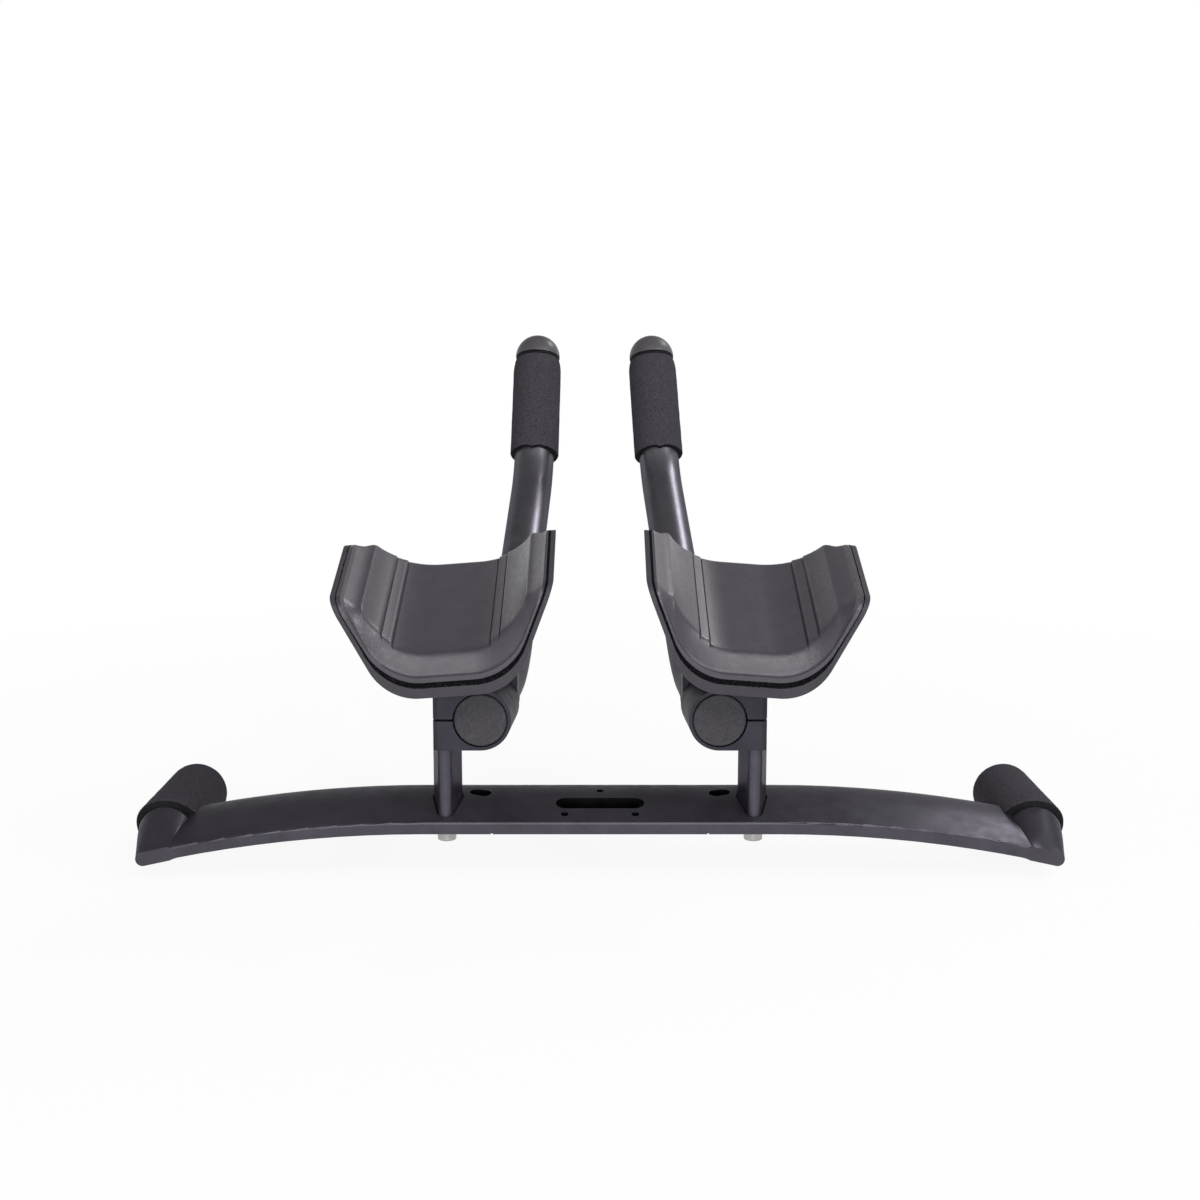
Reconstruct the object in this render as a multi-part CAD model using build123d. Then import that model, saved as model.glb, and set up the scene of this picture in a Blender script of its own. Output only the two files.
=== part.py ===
from build123d import *
from math import asin, cos, degrees, radians, sin, tan
import os

# Aero cockpit of a time-trial bicycle: base bar, risers, extensions and arm rests.
# Millimetres, +Z up, +Y towards the front wheel, +X to the rider's right.
# The origin is the middle of the wing's underside. Paired pieces are drawn for the left and mirrored.

# Base bar: a wing with a blunt rear edge, level in the middle and drooping to the horns
WING_CHORD = 44.0
WING_EDGE = 5.8
WING_EDGE_ROUND = 1.3
WING_CREST = 12.5
CREST_Y = 9.0
NOSE_Z = 5.0
NOSE_FOOT = 8.0
REAR_SLOPE = 14.0
LEVEL_HALF = 80.0
DROOP_RADIUS = 560.0
HORN_X = 200.0
HORN_Z = -6.4
HORN_ROOT = 25.0
HORN_TIP = 22.2
HORN_LENGTH = 72.0
HORN_BORE = 19.0
HORN_BORE_DEPTH = 62.0
HEEL_WIDTH = 18.0
HEEL_HEIGHT = 6.4
GRIP_START = 0.6
GRIP_LENGTH = 70.0
GRIP_WALL = 3.25
GRIP_MITRE = 17.5
RELIEF_GAP = 0.3
SLOT_LENGTH = 40.0
SLOT_WIDTH = 8.5
SLOT_Y = -6.0
BOLT_HOLE = 3.4
REAR_HOLE_SPACING = 31.9
REAR_HOLE_Y = -15.0
FRONT_HOLE_Y = 6.0
PORT_X = 55.0
PORT_Y = 4.0
PORT_LENGTH = 10.0
PORT_WIDTH = 6.5
PORT_DEPTH = 7.0
PORT_TURN = 20.0
SEAT_HALF = 48.0
SEAT_GROOVE = 1.0
SEAT_GROOVE_DEPTH = 0.4

# Riser posts and the long screws that come up through the wing
POST_X = 69.6
POST_LENGTH = 34.0
POST_WIDTH = 13.0
POST_NOSE = 3.4
SOCKET_GAP = 0.6
SOCKET_FLOOR = 3.5
SCREW = 5.0
SCREW_GAP = 0.15
SCREW_SPACING = 19.0
SCREW_HEAD = 8.5
SCREW_HEAD_HEIGHT = 5.0
SCREW_HEX = 4.0
SCREW_REACH = 60.0
WASHER = 10.0
WASHER_THICKNESS = 1.0

# Extension: level in its clamp, a bend to a climb, and a steeper bend into the grip
TUBE = 22.2
TUBE_WALL = 1.8
AXIS_X = 53.2
AXIS_Z = 51.8
TUBE_REAR = -17.5
TOE_IN = 3.84
ROLL = {"left": -0.3, "right": 2.1}
STRAIGHT = 76.9
FIRST_BEND = 80.0
FIRST_ANGLE = 30.7
CLIMB_RUN = 125.6
SECOND_BEND = 60.0
BARE_ANGLE = 25.9
SLEEVE_ANGLE = 8.4
TIP_RUN = 50.0
SLEEVE = 27.0
SLEEVE_TAPER = 7.0
SLEEVE_ROUND = 1.0
PLUG_FLANGE = 23.6
PLUG_FLANGE_THICKNESS = 3.0
PLUG_INSERT = 15.0
FIT_GAP = 0.1

# Remote switch in the tip, with a domed push button
COLLAR = 24.8
COLLAR_THICKNESS = 0.4
BUTTON = 25.2
BUTTON_GROOVE = 0.9
BUTTON_SKIRT = 0.2
BUTTON_TRAVEL = 0.6
BUTTON_GAP = 0.06
SPIGOT = 17.0
SPIGOT_HEIGHT = 5.0
SWITCH_INSERT = 14.0
SWITCH_POCKET = 10.0
SWITCH_WALL = 2.0
TACT_SIZE = 6.0
TACT_STEM = 3.4
PUSHER = 4.0
PUSHER_GAP = 0.1

# Clamp on the post, and the bracket in front of it that carries the arm rest
CLAMP_REAR = -19.5
CLAMP_LENGTH = 32.5
CLAMP_RADIUS = 13.8
CLAMP_OUTER = 4.9
CLAMP_SLIT = 1.0
BORE_GAP = 0.1
COUNTERBORE_GAP = 0.5
COUNTERBORE_DEPTH = 3.0
CLAMP_EDGE = 2.5
BRACKET_GAP = 1.4
BRACKET_LENGTH = 13.0
BRACKET_RADIUS = 12.5

# Arm rest: a tilted trough of cup, hook-and-loop layer and pad
REST_X = 65.4
REST_Y = -34.0
REST_Z = 66.0
REST_TILT = 17.5
REST_ROLL = 4.7
REST_LENGTH = 106.0
REST_HEIGHT = 43.0
REST_FLOOR = 56.0
REST_FLARE = 64.0
REST_CORNER = 24.0
CORNER_GROWTH = 0.37
WALL_SHARE = 0.47
REST_NOSE_RAKE = 37.0
REST_EDGE_ROUND = 10.0
CUP_THICKNESS = 4.2
LOOP_THICKNESS = 2.2
PAD_THICKNESS = 11.5
PAD_BEVEL = 6.0
PAD_BEVEL_DEPTH = 3.0
LAYER_GAP = 0.1
REST_BOLT = 5.0
REST_BOLT_HEAD = 9.0
REST_BOLT_HEAD_HEIGHT = 2.0
REST_BOLT_REACH = 10.0


def turned(*profile):
    """A solid of revolution about Z from (radius, height) corners."""
    outline = Polyline(*[(radius, 0, height) for radius, height in profile], close=True)
    return revolve(make_face(outline), Axis.Z)


def rod(diameter, start, end):
    """A cylinder between two points."""
    reach = Vector(end) - Vector(start)
    return extrude(Plane(start, z_dir=reach) * Circle(diameter / 2), reach.length)


def rounded_ends(sleeve):
    """A foam sleeve with the outer rims of its two flat ends rounded."""
    ends = sleeve.faces().filter_by(GeomType.PLANE)
    rims = [edge for end in ends for edge in end.outer_wire().edges()]
    return fillet(rims, SLEEVE_ROUND)


# Base bar


def wing_section():
    """The wing's outline across the bar, in (forward, up)."""
    rear = -WING_CHORD / 2
    nose = WING_CHORD / 2
    edge = Line((rear, 0), (rear, WING_EDGE - WING_EDGE_ROUND))
    corner = JernArc(edge @ 1, edge % 1, WING_EDGE_ROUND, REAR_SLOPE - 90)
    top = Spline(corner @ 1, (CREST_Y, WING_CREST), (nose, NOSE_Z), tangents=[corner % 1, (0, -1)])
    chin = Spline((nose, NOSE_Z), (nose - NOSE_FOOT, 0), tangents=[(0, -1), (-1, 0)])
    base = Line((nose - NOSE_FOOT, 0), (rear, 0))
    return make_face([edge, corner, top, chin, base])


def wing_half():
    """The right half of the wing: a level run, then an arc down to the horn."""
    section = wing_section()
    level = extrude(Plane.YZ * section, LEVEL_HALF)
    centre = Axis((LEVEL_HALF, 0, -DROOP_RADIUS), (0, 1, 0))
    droop = revolve(Plane.YZ.offset(LEVEL_HALF) * section, centre, droop_angle())
    return level + droop


def droop_angle():
    """How far the wing's end has turned down at the horn."""
    return degrees(asin((HORN_X - LEVEL_HALF) / DROOP_RADIUS))


def horn():
    """The right horn: a heel that grows out of the rear edge, and a tapered round tube."""
    turn = radians(droop_angle())
    drop = DROOP_RADIUS * (1 - cos(turn))
    heel_z = WING_EDGE - drop - HEEL_HEIGHT / 2
    heel_y = -WING_CHORD / 2
    middle_y = heel_y / 2
    facing = Plane((HORN_X, 0, HORN_Z), x_dir=(1, 0, 0), z_dir=(0, 1, 0))
    heel_plane = Plane((HORN_X, heel_y, heel_z), x_dir=(cos(turn), 0, -sin(turn)), z_dir=(0, 1, 0))
    heel = heel_plane * SlotOverall(HEEL_WIDTH, HEEL_HEIGHT)
    waist_plane = Plane((HORN_X, middle_y, (HORN_Z + heel_z) / 2), x_dir=(1, 0, 0), z_dir=(0, 1, 0))
    waist = waist_plane * Ellipse((HEEL_WIDTH + HORN_ROOT) / 4, (HEEL_HEIGHT + HORN_ROOT) / 4)
    blend = loft([heel, waist, facing * Circle(HORN_ROOT / 2)])
    tube = facing * turned((0, 0), (HORN_ROOT / 2, 0), (HORN_TIP / 2, HORN_LENGTH), (0, HORN_LENGTH))
    return blend + tube


def post_section(gap=0.0):
    """The riser's aero oval, grown by a gap."""
    nose_y = POST_LENGTH / 2 - POST_NOSE
    middle = Circle(POST_WIDTH / 2 + gap)
    ends = [Pos(0, sign * nose_y) * Circle(POST_NOSE + gap) for sign in (-1, 1)]
    return make_hull(middle.edges() + ends[0].edges() + ends[1].edges())


def screw_places():
    """The two screws of the left riser."""
    return [(-POST_X, sign * SCREW_SPACING / 2) for sign in (-1, 1)]


def base_bar():
    half = wing_half() - grip_relief() + horn()
    horn_end = (HORN_X, HORN_LENGTH, HORN_Z)
    half -= rod(HORN_BORE, horn_end, (HORN_X, HORN_LENGTH - HORN_BORE_DEPTH, HORN_Z))
    socket = extrude(Pos(POST_X, 0, SOCKET_FLOOR) * post_section(SOCKET_GAP), WING_CREST)
    half -= socket
    for x, y in screw_places():
        half -= rod(SCREW + 2 * SCREW_GAP, (-x, y, -WING_CREST), (-x, y, WING_CREST))
    port = Pos(PORT_X, PORT_Y, WING_CREST - PORT_DEPTH) * Rot(0, 0, PORT_TURN) * SlotOverall(PORT_LENGTH, PORT_WIDTH)
    half -= extrude(port, WING_CREST)
    groove_end = SEAT_HALF + SEAT_GROOVE
    half -= slab(SEAT_HALF, groove_end, -WING_CREST, SEAT_GROOVE_DEPTH, -WING_CHORD, WING_CHORD)
    bar = half + mirror(half, Plane.YZ)
    bar -= extrude(Pos(0, SLOT_Y, -WING_CREST) * SlotOverall(SLOT_LENGTH, SLOT_WIDTH), 3 * WING_CREST)
    places = [(0, FRONT_HOLE_Y)] + [(sign * REAR_HOLE_SPACING / 2, REAR_HOLE_Y) for sign in (-1, 1)]
    for x, y in places:
        bar -= rod(BOLT_HOLE, (x, y, -WING_CREST), (x, y, 2 * WING_CREST))
    return bar


def grip_radii():
    """Bore radii of the horn's sleeve at its rear and front end, on the horn's taper."""
    slope = (HORN_ROOT - HORN_TIP) / 2 / HORN_LENGTH
    near = HORN_ROOT / 2 - slope * GRIP_START + FIT_GAP
    return near, near - slope * GRIP_LENGTH


def mitre(offset):
    """The slanted rear end of the horn's sleeve, its foot further forward, moved along by an offset."""
    across = 2 * (grip_radii()[0] + GRIP_WALL)
    return Plane((0, GRIP_START + GRIP_MITRE / 2 + offset, HORN_Z), z_dir=(0, across, GRIP_MITRE))


def grip_relief():
    """Room in the end of the right wing for the sleeve."""
    room = rod(2 * (grip_radii()[0] + GRIP_WALL + RELIEF_GAP), (HORN_X, -GRIP_START, HORN_Z),
               (HORN_X, WING_CHORD, HORN_Z))
    return split(room, bisect_by=mitre(-RELIEF_GAP), keep=Keep.TOP)


def base_grip():
    """The left horn's foam sleeve, which follows the horn's taper."""
    near, far = grip_radii()
    sleeve = turned((near, 0), (near + GRIP_WALL, 0), (far + GRIP_WALL, GRIP_LENGTH), (far, GRIP_LENGTH))
    facing = Plane((-HORN_X, GRIP_START, HORN_Z), x_dir=(1, 0, 0), z_dir=(0, 1, 0))
    return rounded_ends(split(facing * sleeve, bisect_by=mitre(FIT_GAP), keep=Keep.TOP))


# Risers


def post():
    body = extrude(Pos(-POST_X, 0, SOCKET_FLOOR) * post_section(), AXIS_Z - CLAMP_RADIUS - SOCKET_FLOOR)
    for x, y in screw_places():
        body -= rod(SCREW + 2 * SCREW_GAP, (x, y, 0), (x, y, AXIS_Z))
    return body


def riser_bolts():
    bolts = []
    for x, y in screw_places():
        under_head = -WASHER_THICKNESS
        head_end = under_head - SCREW_HEAD_HEIGHT
        bolt = rod(SCREW, (x, y, under_head), (x, y, under_head + SCREW_REACH))
        head = rod(SCREW_HEAD, (x, y, head_end), (x, y, under_head))
        head = fillet(head.edges().sort_by(Axis.Z)[0], SCREW_HEAD_HEIGHT / 8)
        key = extrude(Pos(x, y, head_end) * RegularPolygon(SCREW_HEX / 2, 6, major_radius=False), SCREW_HEAD_HEIGHT / 2)
        bolts.append(bolt + head - key)
    return bolts


def riser_washers():
    washers = []
    for x, y in screw_places():
        disc = rod(WASHER, (x, y, -WASHER_THICKNESS), (x, y, 0))
        washers.append(disc - rod(SCREW + 2 * SCREW_GAP, (x, y, -WASHER_THICKNESS), (x, y, 0)))
    return washers


# Extension


def forward():
    return Vector(sin(radians(TOE_IN)), cos(radians(TOE_IN)), 0)


def tube_start():
    return Vector(-AXIS_X, TUBE_REAR, AXIS_Z)


def bend_plane(roll):
    """The plane that the left extension bends in, leaning inwards by its roll."""
    inward = Vector(cos(radians(TOE_IN)), -sin(radians(TOE_IN)), 0)
    up = Vector(0, 0, cos(radians(roll))) + inward * sin(radians(roll))
    return Plane(tube_start(), x_dir=forward(), z_dir=forward().cross(up))


def tube_lines():
    """The extension's centre line in its bend plane, one edge after another."""
    straight = Line((0, 0), (STRAIGHT, 0))
    first = JernArc(straight @ 1, straight % 1, FIRST_BEND, FIRST_ANGLE)
    climb = Line(first @ 1, first @ 1 + CLIMB_RUN * (first % 1))
    bare = JernArc(climb @ 1, climb % 1, SECOND_BEND, BARE_ANGLE)
    covered = JernArc(bare @ 1, bare % 1, SECOND_BEND, SLEEVE_ANGLE)
    tip = Line(covered @ 1, covered @ 1 + TIP_RUN * (covered % 1))
    return [straight, first, climb, bare, covered, tip]


def swept_ring(lines, outer, inner, plane):
    path = Wire(lines)
    ring = Circle(outer / 2) - Circle(inner / 2)
    return plane * sweep(Plane(path @ 0, z_dir=path % 0) * ring, path)


def extension(roll):
    return swept_ring(tube_lines(), TUBE, TUBE - 2 * TUBE_WALL, bend_plane(roll))


def extension_grip(roll):
    """The foam sleeve, from inside the second bend to the switch's collar, where it tapers."""
    *rest, covered, tip = tube_lines()
    bore = TUBE / 2 + FIT_GAP
    full = Line(tip @ 0, tip @ 1 - SLEEVE_TAPER * (tip % 1))
    sleeve = swept_ring([covered, full], SLEEVE, 2 * bore, bend_plane(roll))
    taper = turned((bore, -SLEEVE_TAPER), (SLEEVE / 2, -SLEEVE_TAPER), (COLLAR / 2, -FIT_GAP), (bore, -FIT_GAP))
    return rounded_ends(sleeve + tip_plane(roll) * taper)


def rear_plug():
    insert = TUBE / 2 - TUBE_WALL - FIT_GAP
    flange = PLUG_FLANGE / 2
    crown = PLUG_FLANGE_THICKNESS / 4
    body = turned((0, PLUG_INSERT), (insert, PLUG_INSERT), (insert, 0), (flange, 0),
                  (flange, crown - PLUG_FLANGE_THICKNESS), (0, crown - PLUG_FLANGE_THICKNESS))
    body = fillet(body.edges().sort_by(Axis.Z)[0], crown)
    return Plane(tube_start(), z_dir=forward()) * body


# Switch in the tip


def tip_plane(roll):
    """The end of the tube, facing out along it."""
    tip = tube_lines()[-1]
    plane = bend_plane(roll)
    end = plane.from_local_coords(tip @ 1)
    return Plane(end, z_dir=end - plane.from_local_coords(tip @ 0))


def switch_body(roll):
    insert = TUBE / 2 - TUBE_WALL - FIT_GAP
    top = COLLAR_THICKNESS + SPIGOT_HEIGHT
    pocket = SPIGOT / 2 - SWITCH_WALL
    floor = top - SWITCH_POCKET
    body = turned((0, -SWITCH_INSERT), (insert, -SWITCH_INSERT), (insert, 0), (COLLAR / 2, 0),
                  (COLLAR / 2, COLLAR_THICKNESS), (SPIGOT / 2, COLLAR_THICKNESS), (SPIGOT / 2, top),
                  (pocket, top), (pocket, floor), (0, floor))
    return tip_plane(roll) * body


def switch_button(roll):
    """A hollow dome that slides on the switch's spigot, with a pusher over the tact switch."""
    base = COLLAR_THICKNESS + BUTTON_GROOVE
    radius = BUTTON / 2
    dome = Pos(0, 0, base + BUTTON_SKIRT) * Sphere(radius)
    dome &= Pos(0, 0, base) * Cylinder(BUTTON, BUTTON, align=(Align.CENTER, Align.CENTER, Align.MIN))
    ceiling = COLLAR_THICKNESS + SPIGOT_HEIGHT + BUTTON_GROOVE
    dome -= rod(SPIGOT + 2 * BUTTON_GAP, (0, 0, 0), (0, 0, ceiling))
    foot = tact_top() + BUTTON_TRAVEL + PUSHER_GAP
    return tip_plane(roll) * (dome + rod(PUSHER, (0, 0, foot), (0, 0, ceiling)))


def tact_top():
    """Height of the tact switch's stem above the tube's end."""
    return COLLAR_THICKNESS + SPIGOT_HEIGHT - SWITCH_POCKET + TACT_SIZE


def tact_switch(roll):
    floor = COLLAR_THICKNESS + SPIGOT_HEIGHT - SWITCH_POCKET
    block = Pos(0, 0, floor) * Box(TACT_SIZE, TACT_SIZE, TACT_SIZE / 2, align=(Align.CENTER, Align.CENTER, Align.MIN))
    return tip_plane(roll) * (block + rod(TACT_STEM, (0, 0, floor), (0, 0, tact_top())))


# Arm rest


def rest_plane():
    """The left cup's underside: origin at the middle of its rear edge, X inwards, Y along it."""
    tilt = radians(REST_TILT)
    roll = radians(REST_ROLL)
    along = Vector(0, cos(tilt), sin(tilt))
    normal = Vector(0, -sin(tilt), cos(tilt))
    inward = Vector(1, 0, 0) * cos(roll) + normal * sin(roll)
    return Plane((-REST_X, REST_Y, REST_Z), x_dir=inward, z_dir=inward.cross(along))


def trough_line(depth):
    """The trough's outline across the arm, raised from the cup's underside by a depth, less on the walls."""
    flare = radians(REST_FLARE)
    foot = REST_FLOOR / 2 - WALL_SHARE * depth / sin(flare)
    corner = foot + depth / tan(flare)
    rim = foot + REST_HEIGHT / tan(flare)
    points = [(-rim, REST_HEIGHT), (-corner, depth), (corner, depth), (rim, REST_HEIGHT)]
    return FilletPolyline(*points, radius=REST_CORNER + CORNER_GROWTH * depth)


def rest_outline(inset):
    """The trough's outline seen from the side, in (along, up), with raked and rounded ends."""
    lean = REST_HEIGHT * tan(radians(REST_TILT))
    rake = REST_HEIGHT * tan(radians(REST_NOSE_RAKE))
    points = [(inset, 0), (REST_LENGTH - inset, 0), (REST_LENGTH - inset - rake, REST_HEIGHT),
              (inset + lean, REST_HEIGHT)]
    outline = make_face(Polyline(*points, close=True))
    return fillet(outline.vertices().group_by(Axis.Y)[-1], REST_EDGE_ROUND)


def trough(inner_depth, outer_depth, inset):
    """One layer of the arm rest between two depths, in the rest's own axes."""
    low = trough_line(outer_depth)
    high = trough_line(inner_depth)
    layer = make_face([low, Line(low @ 1, high @ 1), high, Line(high @ 0, low @ 0)])
    solid = extrude(Plane.XZ * layer, -REST_LENGTH)
    return solid & extrude(Plane.YZ * rest_outline(inset), REST_LENGTH, both=True)


def cup_bolt_places():
    """Screws along the rest's axes: one pair into the clamp and one into the bracket."""
    plane = rest_plane()
    clamp_y = CLAMP_REAR + CLAMP_LENGTH / 2
    bracket_y = CLAMP_REAR + CLAMP_LENGTH + BRACKET_GAP + BRACKET_LENGTH / 2
    spots = []
    for y in (clamp_y, bracket_y):
        along = (y - REST_Y) / cos(radians(REST_TILT))
        spots.append((0, along))
    return plane, spots


def cup():
    shell = trough(CUP_THICKNESS, 0, 0)
    plane, spots = cup_bolt_places()
    for x, y in spots:
        shell -= rod(REST_BOLT + 2 * SCREW_GAP, (x, y, 0), (x, y, CUP_THICKNESS))
    return plane * shell


def cup_bolts():
    plane, spots = cup_bolt_places()
    bolts = []
    for x, y in spots:
        shank = rod(REST_BOLT, (x, y, -REST_BOLT_REACH), (x, y, CUP_THICKNESS))
        head = rod(REST_BOLT_HEAD, (x, y, CUP_THICKNESS), (x, y, CUP_THICKNESS + REST_BOLT_HEAD_HEIGHT))
        bolts.append(plane * (shank + head))
    return bolts


def hook_and_loop():
    low = CUP_THICKNESS + LAYER_GAP
    layer = trough(low + LOOP_THICKNESS, low, 0)
    plane, spots = cup_bolt_places()
    for x, y in spots:
        layer -= rod(REST_BOLT_HEAD + 2 * SCREW_GAP, (x, y, 0), (x, y, REST_HEIGHT))
    return plane * layer


def on_line(edge, line):
    """Whether an edge's middle, seen along the rest, lies on a line across it."""
    middle = edge.position_at(0.5)
    return line.distance_to(Vector(middle.X, 0, middle.Z)) < LAYER_GAP


def pad():
    """The cushion, with a wide bevel along its rear edge."""
    low = CUP_THICKNESS + LOOP_THICKNESS + 2 * LAYER_GAP
    high = low + PAD_THICKNESS
    cushion = trough(high, low, 0)
    inside = Plane.XZ * trough_line(high)
    rear = cushion.faces().sort_by(Axis.Y)[0]
    rim = [edge for edge in rear.edges() if on_line(edge, inside)]
    return rest_plane() * chamfer(rim, PAD_BEVEL_DEPTH, PAD_BEVEL, reference=rear)


# Clamp and bracket


def below_rest(solid):
    """Cuts a solid off at the cup's underside."""
    return split(solid, bisect_by=rest_plane(), keep=Keep.BOTTOM)


def along_tube(diameter, start_y, end_y):
    """A cylinder on the extension's axis between two places along the bike."""
    step = forward() / forward().Y
    origin = tube_start()
    start = origin + step * (start_y - TUBE_REAR)
    end = origin + step * (end_y - TUBE_REAR)
    return rod(diameter, start, end)


def slab(left, right, bottom, top, rear, front):
    return Pos(left, rear, bottom) * Box(right - left, front - rear, top - bottom, align=Align.MIN)


def clamp():
    """A pinch clamp: a barrel round the extension, an ear over the post and a slit on the outer side."""
    front = CLAMP_REAR + CLAMP_LENGTH
    outer = -POST_X - CLAMP_OUTER
    barrel = along_tube(2 * CLAMP_RADIUS, CLAMP_REAR - CLAMP_LENGTH, front + CLAMP_LENGTH)
    barrel &= slab(outer, 0, 0, 2 * REST_Z, CLAMP_REAR, front)
    ear = slab(outer, -AXIS_X, AXIS_Z - CLAMP_RADIUS, 2 * REST_Z, CLAMP_REAR, front)
    ear = fillet(ear.edges().filter_by(Axis.Z).sort_by(Axis.X)[:2], CLAMP_EDGE)
    body = below_rest(barrel + ear)
    body -= along_tube(TUBE + 2 * BORE_GAP, CLAMP_REAR - CLAMP_LENGTH, front + CLAMP_LENGTH)
    mouth = along_tube(PLUG_FLANGE + 2 * COUNTERBORE_GAP, CLAMP_REAR - CLAMP_LENGTH, CLAMP_REAR + COUNTERBORE_DEPTH)
    body -= mouth
    half_slit = CLAMP_SLIT / 2
    body -= slab(outer - CLAMP_SLIT, -AXIS_X, AXIS_Z - half_slit, AXIS_Z + half_slit, CLAMP_REAR, front)
    for x, y in screw_places():
        body -= rod(SCREW + 2 * SCREW_GAP, (x, y, 0), (x, y, SCREW_REACH))
    return body - cup_bolt_holes()


def bracket():
    """A saddle on the extension with straight flanks up to the cup."""
    rear = CLAMP_REAR + CLAMP_LENGTH + BRACKET_GAP
    front = rear + BRACKET_LENGTH
    middle_x = -AXIS_X + tan(radians(TOE_IN)) * ((rear + front) / 2 - TUBE_REAR)
    ring = along_tube(2 * BRACKET_RADIUS, rear - BRACKET_LENGTH, front + BRACKET_LENGTH)
    ring &= slab(-POST_X * 2, 0, 0, 2 * REST_Z, rear, front)
    flanks = slab(middle_x - BRACKET_RADIUS, middle_x + BRACKET_RADIUS, AXIS_Z, 2 * REST_Z, rear, front)
    body = below_rest(ring + flanks)
    body -= along_tube(TUBE + 2 * BORE_GAP, rear - BRACKET_LENGTH, front + BRACKET_LENGTH)
    return body - cup_bolt_holes()


def cup_bolt_holes():
    plane, spots = cup_bolt_places()
    holes = [rod(REST_BOLT + 2 * SCREW_GAP, (x, y, -REST_BOLT_REACH - SCREW_GAP), (x, y, CUP_THICKNESS)) for x, y in spots]
    return plane * Compound(children=holes)


# Export: one file to a node


def save(name, shape):
    solids = shape if isinstance(shape, list) else [shape]
    found = [solid for piece in solids for solid in piece.solids()]
    export_step(found[0] if len(found) == 1 else Compound(children=found), f"parts/{name}.step")


def both_sides(name, make, rolled=False):
    """Saves a left piece and its mirrored right one."""
    for side in ("left", "right"):
        made = make(ROLL[side]) if rolled else make()
        pieces = made if isinstance(made, list) else [made]
        if side == "right":
            pieces = [mirror(piece, Plane.YZ) for piece in pieces]
        save(f"{side}_{name}", pieces)


os.makedirs("parts", exist_ok=True)
save("base_bar", base_bar())
both_sides("base_grip", base_grip)
both_sides("post", post)
both_sides("riser_bolts", riser_bolts)
both_sides("riser_washers", riser_washers)
both_sides("clamp", clamp)
both_sides("rest_bracket", bracket)
both_sides("extension", extension, rolled=True)
both_sides("extension_grip", extension_grip, rolled=True)
both_sides("rear_plug", rear_plug)
both_sides("switch_body", switch_body, rolled=True)
both_sides("switch_button", switch_button, rolled=True)
both_sides("tact_switch", tact_switch, rolled=True)
both_sides("cup", cup)
both_sides("cup_bolts", cup_bolts)
both_sides("hook_and_loop", hook_and_loop)
both_sides("pad", pad)
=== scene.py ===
from math import cos, exp, hypot, log, pi, radians, sin, sqrt, tan

import bmesh
import bpy
import numpy as np
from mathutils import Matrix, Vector, noise


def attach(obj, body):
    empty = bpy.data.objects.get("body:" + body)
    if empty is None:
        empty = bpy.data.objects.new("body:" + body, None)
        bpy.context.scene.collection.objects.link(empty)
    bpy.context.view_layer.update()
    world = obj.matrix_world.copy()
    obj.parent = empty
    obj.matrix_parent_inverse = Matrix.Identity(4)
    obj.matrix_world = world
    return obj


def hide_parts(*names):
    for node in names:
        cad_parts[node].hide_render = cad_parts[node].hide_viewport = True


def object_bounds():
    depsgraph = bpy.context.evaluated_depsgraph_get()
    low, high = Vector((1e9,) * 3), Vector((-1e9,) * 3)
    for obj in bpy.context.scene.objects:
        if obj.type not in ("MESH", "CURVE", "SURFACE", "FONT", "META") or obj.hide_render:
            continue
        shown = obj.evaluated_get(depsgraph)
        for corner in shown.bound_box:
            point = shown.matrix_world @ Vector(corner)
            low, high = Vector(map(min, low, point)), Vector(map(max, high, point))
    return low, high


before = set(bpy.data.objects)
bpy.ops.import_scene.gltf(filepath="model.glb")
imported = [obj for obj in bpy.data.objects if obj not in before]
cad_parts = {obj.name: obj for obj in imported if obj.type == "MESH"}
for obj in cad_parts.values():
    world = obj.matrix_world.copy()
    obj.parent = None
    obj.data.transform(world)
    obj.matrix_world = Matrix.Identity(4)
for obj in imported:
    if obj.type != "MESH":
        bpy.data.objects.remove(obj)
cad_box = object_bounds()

# Looks of the aero cockpit. Shapes are worked out in millimetres in the CAD frame and scaled to metres.
MM = 0.001
SIDES = {"left": 1, "right": -1}
SHARP_ANGLE = radians(38)

# Arm rest trough, as in the part
REST_X, REST_Y, REST_Z = 65.4, -34.0, 66.0
REST_TILT, REST_ROLL, REST_RAKE = radians(17.5), radians(4.7), radians(37)
REST_LENGTH, REST_HEIGHT, REST_FLOOR = 106.0, 43.0, 56.0
REST_FLARE, REST_CORNER, CORNER_GROWTH, WALL_SHARE = radians(64), 24.0, 0.37, 0.47
REST_EDGE_ROUND = 10.0
CUP, LOOP, PAD, LAYER_GAP = 4.2, 2.2, 11.5, 0.1

# Layers of the arm rest. A share runs from -1 at the trough's outer rim to 1 at its inner one.
FLAT_SHARE, ARC_SHARE = 0.15, 0.62  # where the flat floor and the round corner end
BEVEL, BEVEL_ROUND, LEDGE, LIP_SHARE = 7.6, 11.0, 0.9, 0.18
BEVEL_BULGE, BEVEL_CREST, RIDGE_ROUND = 0.4, 1.75, 0.045
NOSE, NOSE_STEEPNESS, NOSE_START, NOSE_END = 5.5, 1.6, 0.74, 1.0
FRONT_ROUND, FRONT_DROP = 1.6, 0.08
BANDS = {-1: (0.38, 0.46), 1: (0.30, 0.37)}  # shares of the bands' lines on each side
STEP, STEP_SHARE = 0.9, 0.006
GROOVE, GROOVE_PLACE, GROOVE_HALF = 0.45, 1.1, 0.7  # its place and half width in steps from the line
PINCH, PINCH_START, PINCH_REACH = 0.4, 0.4, 0.5  # thickness that is left at the outer rim, and shares
FUZZ, FUZZ_INSET = ((0.5, 0.9, 4), (0.35, 0.45, 9)), 0.1  # (depth, size, seed)
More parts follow.
